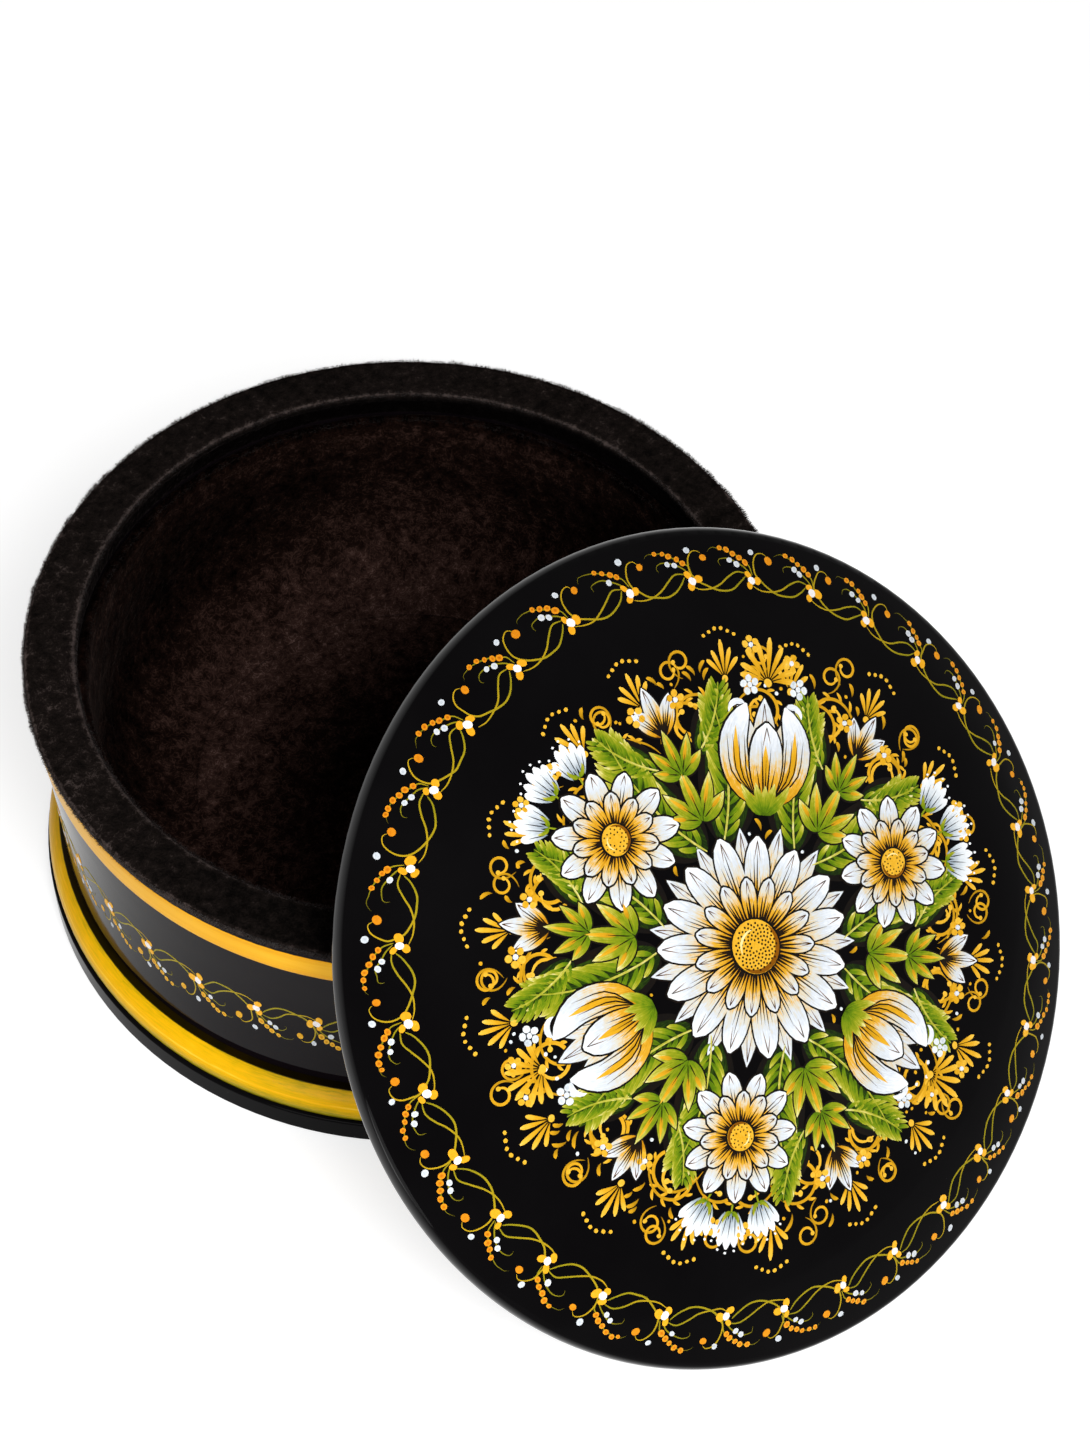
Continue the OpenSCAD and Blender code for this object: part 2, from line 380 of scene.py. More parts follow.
def rimLightAndShade(r, z, turn):
    # painted light and shade on the rim: painted shade where it turns down inside and towards the front, a
    # painted highlight along its inner edge and on its outer edge, and a little painted light towards the
    # left
    folded = (r < 71.5) * min(1, max(0, (69.4 - z) / 1.5))
    ridge = (r < 71.5) * math.exp(-((z - 69.6) / 0.2) ** 2)
    left, front = (max(0, math.cos(turn - math.radians(way))) for way in (185, 245))
    return 0.56 - 0.52 * folded + 0.3 * ridge + 0.2 * (r > 80.2) + 0.08 * left - 0.24 * front ** 2


def softRing(name, look, material, slot, toneOf):
    profile = roundProfile(look["profile"], look["step"], closed=True)
    ahead = np.roll(profile, -1, 0) - np.roll(profile, 1, 0)
    outward = np.stack([ahead[:, 1], -ahead[:, 0]], 1)
    outward /= np.linalg.norm(outward, axis=1)[:, None]
    points, tone = [], []
    for (r, z), (nr, nz) in zip(profile, outward):
        calm = min(1, max(0, (r - look["calm"]) / look["fade"])) if "calm" in look else 1
        for a in anglesOf(look["turns"]):
            here = Vector((r * math.cos(a), r * math.sin(a), z))
            soft = noise.noise(here * 0.16) * look["waver"] + noise.noise(here * 0.9) * look["nap"]
            soft *= calm
            points.append(pointOn(r + nr * soft, a, z + nz * soft))
            tone.append(toneOf(r, z, a))
    faces = turnedGrid(len(profile), look["turns"], closedRows=True)
    return buildPiece(name, points, faces, material, "box", slot, tone)


rimPiece = softRing("rim_roll", rim, velvet("rim_velvet_cloth", rim), "rim_velvet", rimLightAndShade)
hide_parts("rim_velvet")

# its waves fade out towards the radius calm, where the floor pad meets it
liner = {
    "profile": [(69.45, 63.5), (68.75, 63.3), (68.3, 62.6), (68.12, 61.0), (68.18, 54), (68.1, 46),
                (68.2, 38.6), (67.52, 33.42), (65.52, 28.6), (62.34, 24.46), (58.2, 21.28), (53.38, 19.28),
                (50.4, 18.74), (48.3, 18.61), (48.06, 18.58), (48.05, 18.4), (48.06, 17.3), (48.2, 17.08),
                (52, 17.06), (69.6, 17.06), (70.7, 17.6), (70.72, 30), (70.72, 58), (70.68, 62.3),
                (70.2, 63.3)],
    "turns": 640, "step": 1.0, "waver": 0.3, "nap": 0.08, "calm": 48, "fade": 9,
    "cloth": [(0.05, "#020101"), (0.4, "#150c09"), (0.75, "#382722"), (1.0, "#604b45")],
    "sheen": 0.04, "tint": "#8a7a74",
    "patch": 120, "tuft": 420, "curl": 560, "hair": 0.24, "mottle": 0.5, "grain": 0.85,
}


def liningLightAndShade(r, z, turn):
    # painted light and shade: paler on the floor, painted shade where the floor curves into the wall, down
    # the wall and just under the rim's fold, a patch of painted light towards the turn at 50 degrees, and one
    # towards 152 degrees that is darker low down and paler high up
    lit, lightAndShadePatch = (max(0, math.cos(turn - math.radians(way))) ** 6 for way in (50, 152))
    up = np.interp(z, (18.4, 19.4, 24, 31, 46, 54, 59, 61.5, 63.2),
                   (0.56, 0.5, 0.34, 0.18, 0.14, 0.2, 0.3, 0.16, 0.0))
    up += lit * np.interp(z, (20, 27, 34, 50), (0.06, 0.2, 0.24, 0.1))
    return float(up + lightAndShadePatch * np.interp(z, (18.6, 24, 34, 46, 62), (-0.14, -0.16, 0, 0.14, 0.2)))


linerCloth = velvet("lining_velvet_cloth", liner)
linerPiece = softRing("wall_lining", liner, linerCloth, "wall_velvet", liningLightAndShade)
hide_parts("wall_velvet")


def softDisc(p, heightAt, way=1):
    # a round cushion: a centre and rings out to its edge, then one more ring and a centre for its back
    n = p["turns"]
    points = [(0, 0, p["front"] * mm)]
    for i in range(1, p["rings"] + 1):
        share = i / p["rings"]
        for a in anglesOf(n):
            x, y = share * p["radius"] * math.cos(a), share * p["radius"] * math.sin(a)
            points.append((x * mm, y * mm, heightAt(p, x, y, share) * mm))
    rest = len(points)
    points += [(x * p["hem"], y * p["hem"], p["back"] * mm) for x, y, z in points[-n:]]
    points.append((0, 0, p["back"] * mm))
    pairs = [(j, (j + 1) % n) for j in range(n)]
    faces = [(0, *(1 + v for v in pair[::way])) for pair in pairs]
    faces += [tuple(1 + v for v in quad[::way]) for quad in turnedGrid(p["rings"] + 1, n)]
    faces += [(len(points) - 1, *(rest + v for v in pair[::-way])) for pair in pairs]
    return points, faces


pad = {"radius": 48.04, "front": 18.62, "back": 17.02, "rings": 96, "turns": 420, "hem": 0.995,
       "nap": 0.12, "fade": 9, "edge": 0.02, "brushedAt": 95}


def padHeight(p, x, y, share):
    fade = min(1.0, (1 - share) * p["radius"] / p["fade"])
    wave, ripple = noise.noise(Vector((x * 0.35, y * 0.35, 3))), noise.noise(Vector((x, y, 8)))
    return p["front"] - p["edge"] * (share == 1) + (wave * p["nap"] + ripple * p["nap"] * 0.5) * fade


def padLightAndShade(p, x, y):
    # paler out towards the wall and darker towards the middle, a painted shadow, and paler still in a patch
    # of painted light round the turn given in the pad's table
    lightAndShadePatch = np.clip((math.cos(math.atan2(y, x) - math.radians(p["brushedAt"])) - 0.45) / 0.4, 0, 1)
    wearAndPaintedLight = np.interp(math.hypot(x, y) / mm, (14, 26, 36, 46), (0.22, 0.37, 0.48, 0.58))
    return float(lightAndShadePatch * wearAndPaintedLight + (1 - lightAndShadePatch) * (0.25 + 0.3 * wearAndPaintedLight))


padPoints, padFaces = softDisc(pad, padHeight)
floorPad = buildPiece("floor_pad", padPoints, padFaces, linerCloth, "box", "floor_velvet",
                      [padLightAndShade(pad, x, y) for x, y, z in padPoints])
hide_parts("floor_velvet")

# the fold's and the lining's piles have darker colours than the rim's: painted shade under the rim
rimPile = {"count": 32000, "radius": 80.75, "height": 69.0, "deep": 0.12, "high": 0.65, "out": 1.0,
           "length": 0.8, "width": 0.07, "colours": ("#0a0808", "#574d49"), "sheen": 0.25}
foldPile = {"count": 15000, "radius": 70.5, "height": 69.55, "deep": 0.6, "high": 0.3, "out": -0.5,
            "length": 0.6, "width": 0.07, "colours": ("#0a0808", "#302827"), "sheen": 0.15}
liningPile = {"count": 14000, "radius": 68.9, "height": 63.1, "deep": 0.6, "high": 0.35, "out": -0.6,
              "length": 0.6, "width": 0.06, "colours": ("#0a0605", "#261b18"), "sheen": 0.1}


def hairCloth(name, h):
    r = Recipe(name, Roughness=0.95, Specular_IOR_Level=0.1, Sheen_Weight=h["sheen"], Sheen_Roughness=0.4)
    cloud = r.math("MULTIPLY", r.noise(r.place(), 300, 2), value=1.8)
    tone = r.math("MULTIPLY", r.stored("tone"), cloud, outlet="Fac")
    r.give("Base Color", r.ramp(tone, [(0.0, h["colours"][0]), (1.0, h["colours"][1])]))
    return r.mat


def hairRoots(h):
    # single hairs in a ring: each stands out, up and a little to one side, longer where the pile clumps
    roots = []
    for _ in range(h["count"]):
        a = rng.uniform(0, 2 * math.pi)
        clump = 0.9 + 0.45 * noise.noise(Vector((math.cos(a) * 25, math.sin(a) * 25, h["height"])))
        r, z = h["radius"] + rng.uniform(-1, 1) * h["deep"], h["height"] + rng.uniform(-1, 1) * h["high"]
        radial, sideways = Vector((math.cos(a), math.sin(a), 0)), Vector((-math.sin(a), math.cos(a), 0))
        way = radial * h["out"] + upward * rng.uniform(-0.2, 1.0) + sideways * rng.uniform(-0.7, 0.7)
        length = h["length"] * clump * rng.uniform(0.55, 1.25)
        roots.append((radial * r + Vector((0, 0, z)), way.normalized(), length))
    return roots


def layPile(name, h, slot):
    width = h["width"]
    points, faces, tone = [], [], []
    for at, way, length in hairRoots(h):
        side = way.cross(Vector((rng.uniform(-1, 1), rng.uniform(-1, 1), rng.uniform(-1, 1)))).normalized()
        bow = side.cross(way) * rng.uniform(-0.35, 0.35)
        n = len(points)
        points += [(at - side * width / 2) * mm, (at + side * width / 2) * mm,
                   (at + (way + bow * 0.4).normalized() * length * 0.6 + side * width * 0.25) * mm,
                   (at + (way + bow).normalized() * length) * mm]
        faces += [(n, n + 1, n + 2), (n, n + 2, n + 3)]
        # each hair runs from dark at its root to pale at its tip: painted shade down in the pile, painted
        # sheen on the tips
        tone += [0, 0, 0.6, 1]
    return buildPiece(name, points, faces, hairCloth(name + "_hair", h), "box", slot, tone, smooth=False)


layPile("rim_pile", rimPile, "rim_velvet")
layPile("fold_pile", foldPile, "rim_velvet")
layPile("lining_pile", liningPile, "wall_velvet")

# velvet disc glued to the ceiling of the lid's recess, with a soft turned-in edge
lining = {"radius": 66.15, "front": 4.4, "back": 5.4, "rings": 60, "turns": 360, "hem": 1,
          "nap": 0.08, "roll": 0.9, "edge": 0.05, "tone": 0.45}


def liningHeight(p, x, y, share):
    roll = min(1.0, (1 - share) * p["radius"] / p["roll"])
    deep = (p["back"] - p["front"] - p["edge"]) * math.sqrt(max(0, 1 - (1 - roll) ** 2))
    return p["back"] - p["edge"] - deep + noise.noise(Vector((x * 0.5, y * 0.5, 5))) * p["nap"] * roll


lidPoints, lidFaces = softDisc(lining, liningHeight, way=-1)
lidTone = [lining["tone"]] * len(lidPoints)
lidDisc = buildPiece("lid_lining", [lidFrame @ Vector(p) for p in lidPoints], lidFaces,
                     velvet("lid_velvet_cloth", liner), "lid", "lid_velvet", lidTone)
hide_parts("lid_velvet")
print("velvet is laid")


# Painting: every stroke is a thin raised ribbon or drop, cast onto the lacquer
def treeOf(name):
    mesh = nodes[name].data
    return BVHTree.FromPolygons([v.co for v in mesh.vertices], [p.vertices for p in mesh.polygons])


lidTree, wallTree = treeOf("lid_dome"), treeOf("wall_ring")
lidDown = lidFrame.to_3x3() @ Vector((0, 0, -1))
castFrom = {"lid": 40, "wall": 100}     # millimetres, well outside the wood


def onLid(spot):
    start = lidFrame @ Vector((spot.real * mm, spot.imag * mm, castFrom["lid"] * mm))
    return lidTree.ray_cast(start, lidDown)[0]


def onWall(spot):
    # the real part is the turn round the box in radians, the imaginary part the height
    way = Vector((math.cos(spot.real), math.sin(spot.real), 0))
    return wallTree.ray_cast(way * castFrom["wall"] * mm + Vector((0, 0, spot.imag * mm)), -way)[0]


def slopeOf(runs, rises, degree):
    return np.polyder(np.polyfit(runs, rises, degree))


radii, heights = np.linspace(0, 80, 81), np.linspace(20, 58, 77)
unlean = lidFrame.inverted()
lidSlope = slopeOf(radii, [(unlean @ onLid(complex(r, 0.01))).z / mm for r in radii], 8)
wallSlope = slopeOf(heights, [onWall(complex(0.01, z)).xy.length / mm for z in heights], 4)


def lidNormals(spots):
    # the dome's own smooth normals, so that the paint lies flat on it to the eye
    turn, slope = spots / np.maximum(np.abs(spots), 1e-6), np.polyval(lidSlope, np.abs(spots))
    own = np.stack([-slope * turn.real, -slope * turn.imag, np.ones(len(spots))], 1)
    own /= np.linalg.norm(own, axis=1)[:, None]
    return own @ np.array(lidFrame.to_3x3()).T


def wallNormals(spots):
    slope = np.polyval(wallSlope, spots.imag)
    own = np.stack([np.cos(spots.real), np.sin(spots.real), -slope], 1)
    return own / np.linalg.norm(own, axis=1)[:, None]


lidSide = {"onto": onLid, "normals": lidNormals, "body": "lid", "slot": "lid_lacquer"}
wallSide = {"onto": onWall, "normals": wallNormals, "body": "box", "slot": "wall_lacquer"}
brushPaint = {"rough": 0.5, "shine": 0.06, "coat": 0.15, "coatRough": 0.08, "coatIor": 1.15,
              "hairs": (3, 0.6), "cloud": (900, 2), "relief": 0.00003}
streaky = {"vine": 0.22, "white": 0.3, "gold": 0.2, "leaf": 0.3, "frost": 0.2, "shade": 0.2}
ribbon = {"sunk": -0.03, "along": 0.35, "across": 5}        # edges sunk into the lacquer leave no gap
pots = {}


def paintPot(name, stops, side, streak):
    pots[name] = {"parts": [], "faces": [], "count": 0, "side": side,
                  "paint": handPaint(name + "_paint", stops, brushPaint, streak * 2, streak)}


def swell(t, start, end):
    # a stroke's width along its length: start and end say how fast it opens and closes
    top = start / (start + end)
    return (t / top) ** start * ((1 - t) / (1 - top)) ** end


def runOf(steps):
    return np.concatenate([[0], np.cumsum(steps)])


def through(points, rows):
    # a smooth path through complex points
    flat = roundProfile([(p.real, p.imag) for p in points], 0.2)
    run = runOf(np.linalg.norm(np.diff(flat, axis=0), axis=1))
    at = np.linspace(0, run[-1], rows)
    return np.interp(at, run, flat[:, 0]) + 1j * np.interp(at, run, flat[:, 1])


def curl(start, heading, length, bend, rows, tighten=1.0):
    # a path that leaves start at a heading and bends by so many degrees over its length
    t = np.linspace(0, 1, rows)
    turn = np.radians(heading + bend * t ** tighten)
    return start + runOf(np.exp(1j * (turn[1:] + turn[:-1]) / 2)) * length / (rows - 1)


def straight(start, end, rows):
    return start + (end - start) * np.linspace(0, 1, rows)


def headingsOf(path):
    return np.degrees(np.angle(np.gradient(path)))


def addPaint(name, spots, lifts, faces, tone, brush):
    pot = pots[name]
    corner = spots[np.array([f[:3] for f in faces])]
    area = np.sum((np.conj(corner[:, 1] - corner[:, 0]) * (corner[:, 2] - corner[:, 0])).imag)
    way = 1 if area > 0 else -1         # a mirrored stroke still faces up
    pot["parts"].append((spots, lifts, tone, brush))
    pot["faces"] += [tuple(v + pot["count"] for v in f[::way]) for f in faces]
    pot["count"] += len(spots)


narrow = (np.array([-1, -0.8, 0, 0.8, 1]), np.array([0, 0.6, 1, 0.6, 0]))
wide = (np.array([-1, -0.94, -0.72, -0.36, 0, 0.36, 0.72, 0.94, 1]),
        np.array([0, 0.5, 0.85, 0.97, 1, 0.97, 0.85, 0.5, 0]))


def stroke(pot, place, path, width, shape, lift, thick, tones, section=narrow, middle=0.0):
    # a ribbon along a path, lifted over what it crosses, its tone running from start to end
    rows = len(path)
    t = np.linspace(0.004, 0.996, rows)
    half = width / 2 * swell(t, *shape)
    ahead = np.gradient(path)
    ahead /= np.maximum(np.abs(ahead), 1e-9)
    across, rise = section
    grid = path[:, None] + 1j * ahead[:, None] * across * half[:, None]
    lifts = np.where(rise == 0, ribbon["sunk"], lift + thick * rise) * np.ones((rows, 1))
    tone = tones[0] + (tones[1] - tones[0]) * t[:, None] + middle * (1 - np.abs(across)) + lifts * 0
    along = runOf(np.abs(np.diff(path)))[:, None] * ribbon["along"] + lifts * 0
    aside = across * half[:, None] * ribbon["across"]
    brush = np.stack([along, aside, np.full_like(lifts, rng.uniform(0, 90))], -1)
    faces = turnedGrid(rows, len(across), closedCols=False)
    addPaint(pot, place(grid.reshape(-1)), lifts.reshape(-1), faces, tone.reshape(-1), brush.reshape(-1, 3))


def drop(pot, place, centre, radius, lift=0.0, thick=0.07, tone=0.6, hollow=0.0, segments=12, uneven=0.1):
    # a dot let fall from the brush; a hollow one dries with a sunken, darker middle
    shares = np.array([0.35, 0.7, 0.93, 1.0])
    rise = np.array([1 - hollow * 0.7, 1.0, 0.6, 0.0])
    shift = np.array([-hollow * 0.35, 0.05, 0, -0.05])
    turn = np.arange(segments) * 2 * math.pi / segments
    wobble = 1 + uneven * np.cos(2 * turn + rng.uniform(0, 6)) * rng.uniform(0.3, 1)
    rings = (radius * shares[:, None] * wobble * np.exp(1j * turn)).reshape(-1)
    spots = np.concatenate([[0], rings]) + centre
    edges = np.where(rise == 0, ribbon["sunk"], lift + thick * rise)
    lifts = np.concatenate([[lift + thick * (1 - hollow)], np.repeat(edges, segments)])
    tones = np.concatenate([[tone - hollow * 0.5], np.repeat(tone + shift, segments)])
    seed = rng.uniform(0, 90)
    brush = np.stack([(spots - centre).real * 2, (spots - centre).imag * 2, np.full(len(spots), seed)], -1)
    faces = [(0, 1 + (j + 1) % segments, 1 + j) for j in range(segments)]
    faces += [tuple(1 + v for v in f) for f in turnedGrid(len(shares), segments)]
    addPaint(pot, place(spots), lifts, faces, tones, brush)


def emptyPots():
    for name, pot in pots.items():
        side = pot["side"]
        spots, lifts, tone, brush = (np.concatenate(rows) for rows in zip(*pot["parts"]))
        normals = side["normals"](spots)
        points = np.array([side["onto"](complex(spot)) for spot in spots]) + normals * lifts[:, None] * mm
        buildPiece(name, points.tolist(), pot["faces"], pot["paint"], side["body"], side["slot"], tone, brush,
                   normals.tolist())


vinePaints = {
    "stem": [(0.0, "#5c5410"), (0.4, "#928816"), (0.7, "#bc9a1a"), (1.0, "#deaa24")],
    "petal": [(0.0, "#d07a10"), (0.4, "#ec9c18"), (0.75, "#f7b528"), (1.0, "#ffd067")],
    "berry": [(0.0, "#6f3d06"), (0.35, "#cc7410"), (0.7, "#ea961c"), (1.0, "#ffc045")],
    "white": [(0.0, "#8a949f"), (0.45, "#d3dae0"), (0.8, "#f5eeec"), (1.0, "#ffffff")],
}
wallPaints = dict(vinePaints, berry=[(0.0, "#5f4306"), (0.35, "#b87c0e"), (0.7, "#dca01c"), (1.0, "#ffca48")])
for key, side, paints in (("lid_border", lidSide, vinePaints), ("wall_vine", wallSide, wallPaints)):
    for part, stops in paints.items():
        paintPot(f"{key}_{part}", stops, side, streaky["vine"])

# one repeat of the running vine: x runs along it, y towards the side with the beads, so many steps to the
# millimetre; the first four are lines, the others are dots, each with its radius in millimetres
vine = {
    "steps": 28.3, "length": 412,
    "stalk": ((35, 40), (95, 45), (155, 10), (215, -32), (285, -57), (355, -57), (412, -36)),
    "loop": ((40, 20), (75, -17), (135, -57), (195, -70), (255, -62), (315, -37), (355, -7), (383, 28),
             (390, 68), (382, 118), (355, 156), (318, 168), (296, 150)),
    "outer": ((-12, 30), (2, 83), (28, 106), (60, 132), (95, 153), (132, 171), (175, 182), (205, 184),
              (232, 176), (246, 158)),
    "inner": ((-4, 30), (35, 70), (80, 98), (120, 117), (155, 122), (186, 110), (196, 92), (190, 76)),
    "berry": ((288, 128, 0.82),),
    "beads": ((25, 104, 0.66), (57, 131, 0.6), (92, 152, 0.55), (130, 173, 0.56), (172, 182, 0.54),
              (208, 180, 0.48)),
    "pearls": ((82, 92, 0.64), (121, 112, 0.64)),
    "tip": ((-27, 172, 0.66),),
    "petals": ((-40, 5, 0.92), (20, 34, 0.72), (16, -32, 0.82)),
    "eye": ((0, 0, 0.86),),
}


def vineUnit(key, place, warm, beads, whites, loose, fat=1.0):
    cool = 1 - warm

    def at(marks):
        shaky = [complex(x + rng.gauss(0, loose), y + rng.gauss(0, loose)) for x, y, *_ in marks]
        return [z / vine["steps"] for z in shaky]

    def line(part, rows, width, shape, tones, lift, thick=0.04):
        stroke(f"{key}_stem", place, through(at(vine[part]), rows), width, shape, lift, thick, tones)

    def dots(part, pot, least, most, count=None, **look):
        for spot, (_, _, size) in zip(at(vine[part]), vine[part][:count]):
            drop(f"{key}_{pot}", place, spot, size * rng.uniform(least, most) * fat, **look)

    line("stalk", 30, 0.39, (0.25, 0.35), (0.25 + 0.2 * warm, 0.7), 0.0, 0.05)
    line("loop", 48, 0.42, (0.22, 0.4), (0.38, 0.58 + 0.2 * warm), 0.02, 0.05)
    line("outer", 34, 0.3, (0.3, 0.7), (0.5, 0.1), 0.01)
    line("inner", 26, 0.31, (0.3, 0.6), (0.45, 0.15), 0.01)
    dots("berry", "berry", 0.85, 1.1, lift=0.03, tone=0.5 + 0.25 * cool)
    dots("beads", "berry", 0.85, 1.15, beads, lift=0.04, thick=0.06, tone=0.62 + 0.2 * cool, hollow=0.75)
    dots("pearls", "white", 0.85, 1.1, whites, lift=0.04, tone=0.5, hollow=0.3)
    dots("tip", "white", 0.85, 1.1, tone=0.45, hollow=0.2)
    dots("petals", "petal", 0.9, 1.15, lift=0.05, tone=0.55 + 0.2 * cool, uneven=0.22, segments=14)
    dots("eye", "white", 0.9, 1.08, lift=0.11, tone=0.85, segments=14)


def unitFit(v):
    # the turn from one repeat to the next, and how much each is stretched to fill it
    pitch = 360 / v["units"]
    return pitch, pitch / (vine["length"] / vine["steps"] / v["radius"] * 180 / math.pi)


border = {"units": 32, "first": 10.5, "radius": 73.0, "drift": 2.2, "driftAt": 165, "driftOver": 60,
          "warmAt": 130, "waver": 0.25, "loose": 2.4}


def lidBorder(b):
    pitch, stretch = unitFit(b)
    for i in range(b["units"]):
        middle = b["first"] + pitch * i
        drift = math.exp(-((middle - b["driftAt"]) / b["driftOver"]) ** 2)
        middle += b["drift"] * drift + rng.gauss(0, b["waver"])
        warm = 0.5 + 0.5 * math.cos(math.radians(middle - b["warmAt"]))
        reach = rng.gauss(0, b["waver"])

        def place(z):
            turn = math.radians(middle) + z.real * stretch / b["radius"]
            return (b["radius"] + reach + z.imag) * np.exp(1j * turn)

        beads, whites = rng.choice((4, 5, 5, 6)), rng.choice((1, 2, 2))
        vineUnit("lid_border", place, warm, beads, whites, b["loose"])


wallVine = {"units": 37, "first": 177.9, "radius": 78.6, "height": 38.4, "scale": 1.4, "warm": 0.1,
            "fat": 1.05, "waver": 0.3, "rise": 0.25, "loose": 2.8}


def boxVine(v):
    pitch, stretch = unitFit(v)
    for i in range(v["units"]):
        middle = math.radians(v["first"] + pitch * i + rng.gauss(0, v["waver"]))
        height = v["height"] + rng.gauss(0, v["rise"])

        def place(z):
            return middle + z.real * stretch / v["radius"] + 1j * (height - z.imag * v["scale"])

        beads, whites = rng.choice((4, 5, 5)), rng.choice((1, 2, 2))
        vineUnit("wall_vine", place, v["warm"], beads, whites, v["loose"], v["fat"])


picture = {
    "axis": 55, "reach": 58.5, "fill": 2000, "rosette": 21.5, "cell": 2, "room": (1.15, 0.85),
    "paints": {
        "white": [(0.0, "#7c4a04"), (0.18, "#c98a10"), (0.42, "#e2ac30"), (0.56, "#d9cfb6"),
                  (0.72, "#d3dae2"), (1.0, "#f4f6f8")],
        "gold": [(0.0, "#7a5206"), (0.3, "#b98812"), (0.6, "#e0a620"), (0.85, "#f4c244"), (1.0, "#fbe6a0")],
        "leaf": [(0.0, "#142208"), (0.2, "#324e08"), (0.45, "#62800e"), (0.7, "#969b1c"), (0.88, "#c6be4e"),
                 (1.0, "#e8e0a0")],
        "frost": [(0.0, "#3a444d"), (0.3, "#a3b0ba"), (0.6, "#e2e8ec"), (1.0, "#ffffff")],
        "shade": [(0.0, "#0d0a08"), (0.5, "#2a1a06"), (1.0, "#8a5208")],
    },
}
for key, stops in picture["paints"].items():
    paintPot("lid_flower_" + key, stops, lidSide, streaky[key])
white, gold, leaf, frost, shade = ("lid_flower_" + key for key in picture["paints"])
goldenAngle = 2.39996       # radians from dot to dot of a stippled eye


def bare(z):
    return z


def within(place, here=0, heading=0.0, flip=False):
    # a motif's own place: its x axis grows along the heading, and each is laid a little differently
    turn = rng.gauss(1, 0.02) * complex(np.exp(1j * math.radians(heading + rng.gauss(0, 1.2))))
    return lambda z: place(here + turn * (np.conj(z) if flip else z))


def halves(place):
    # a place, and then its mirror image
    for flip in (False, True):
        yield within(place, 0, 0, flip)


def underlay(place, path, width, shape, lift):
    stroke(shade, place, path, width, shape, lift, 0.03, (0.0, 0.05), wide)


def hairline(place, path, width, shape, lift, tones):
    stroke(shade, place, path, width, shape, lift, 0.02, tones)


def blade(pot, place, length, width, lift, shape, tones, sway=0.0):
    # a broad stroke on a dark edge of its own
    rows, edge = 12, 0.34
    under = curl(-edge, -sway / 2, length + 2.2 * edge, sway, rows=rows)
    underlay(place, under, width + 2 * edge, shape, lift - 0.012)
    path = curl(0, -sway / 2, length, sway, rows=rows)
    stroke(pot, place, path, width, shape, lift, 0.035, tones, wide, 0.05)


def whitePetal(place, length, width, lift, blunt, hatch, reach, tones):
    # white with an ochre root, and fine dark hairlines drawn out of the root and in from the tip
    blade(white, place, length, width, lift, (0.85, blunt), tones)
    for k in range(hatch):
        off = (k - (hatch - 1) / 2) * width * 0.7 / hatch
        far = length * reach * rng.uniform(0.7, 1.15) * (1 - abs(off) / width)
        line = straight(length * 0.04 + 1j * off * 0.25, far + 1j * off, 6)
        hairline(place, line, 0.5, (0.15, 0.9), lift + 0.045, (0.0, 0.5))
    for off in (-0.12, 0.12):
        line = straight(length * 0.95, length * rng.uniform(0.66, 0.76) + 1j * off * width, 5)
        stroke(shade, place, line, 0.26, (0.2, 0.9), lift + 0.045, 0.015, (0.5, 0.9))


def arcPath(radius, start, end, rows):
    return radius * np.exp(1j * np.radians(np.linspace(start, end, rows)))


def goldenEye(place, radius, lift, dots):
    # a flower's domed middle, stippled in rows that run round it
    drop(shade, place, 0, radius + 0.4, lift - 0.02, 0.06, 0.0, segments=26, uneven=0.03)
    drop(gold, place, 0, radius, lift, 0.14, 0.66, segments=26, uneven=0.03)
    dim, bright = arcPath(radius * 0.86, 150, 330, 18), arcPath(radius * 0.6, 20, 120, 10)
    hairline(place, dim, radius * 0.22, (0.6, 0.6), lift + 0.12, (0.9, 1.0))
    for k in range(4, dots):
        spot = radius * 0.84 * math.sqrt((k + 0.5) / dots) * np.exp(goldenAngle * 1j * k)
        drop(shade, place, spot, radius * 0.028 + 0.1, lift + 0.15, 0.02, 0.35, segments=6)
    stroke(gold, place, bright, radius * 0.12, (0.6, 0.6), lift + 0.16, 0.02, (1.0, 1.0))


def rootHatch(place, low, high, count, lift):
    for k in range(count):
        turn = complex(np.exp(2j * math.pi * (k + rng.uniform(-0.2, 0.2)) / count))
        line = straight(low * turn, rng.uniform(0.8, 1.1) * high * turn, 5)
        hairline(place, line, 0.5, (0.15, 0.9), lift, (0.0, 0.4))


def combLeaf(place, length, width, lift, bend, pairs, light):
    # a pointed leaf combed with side strokes from its rib, each paler at its tip
    rib = curl(0, -bend / 2, length, bend, rows=41)
    underlay(place, rib, width + 1.2, (0.55, 0.8), lift - 0.012)
    stroke(leaf, place, rib, width * 0.86, (0.6, 0.85), lift, 0.03, (0.0, 0.16), wide)
    ahead = headingsOf(rib)
    for k in range(pairs):
        t = 0.05 + 0.85 * k / (pairs - 1)
        at = round(t * 40)
        reach = width * 0.5 * float(swell(np.array(t), 0.55, 0.8)) + 1.0
        for side in (1, -1):
            path = curl(rib[at], ahead[at] + side * 52, reach * 1.22, -side * 38, rows=8)
            stroke(leaf, place, path, length / pairs * 0.62, (0.5, 0.5), lift + 0.04, 0.05,
                   (light - 0.12, light + rng.uniform(0.4, 0.62)))
    stroke(leaf, place, rib, 0.5, (0.2, 0.5), lift + 0.09, 0.03, (0.9, 0.7))


def budSprig(place, size, lift, light):
    for side, length in ((-64, 0.66), (64, 0.66), (-34, 0.86), (34, 0.86), (0, 1.0)):
        own = within(place, 0, side)
        over = lift + 0.02 * (side == 0)
        blade(leaf, own, size * length, size * 0.27, over, (0.75, 1.0), (light, light + 0.6), -side * 0.35)
        rib = straight(size * 0.3, size * length * 0.86, 6)
        stroke(gold, own, rib, size * 0.09, (0.5, 0.9), lift + 0.06, 0.02, (0.3, 0.75))
        root = straight(size * 0.08, size * length * 0.5, 5)
        hairline(own, root, 0.3, (0.3, 0.9), lift + 0.075, (0.1, 0.5))


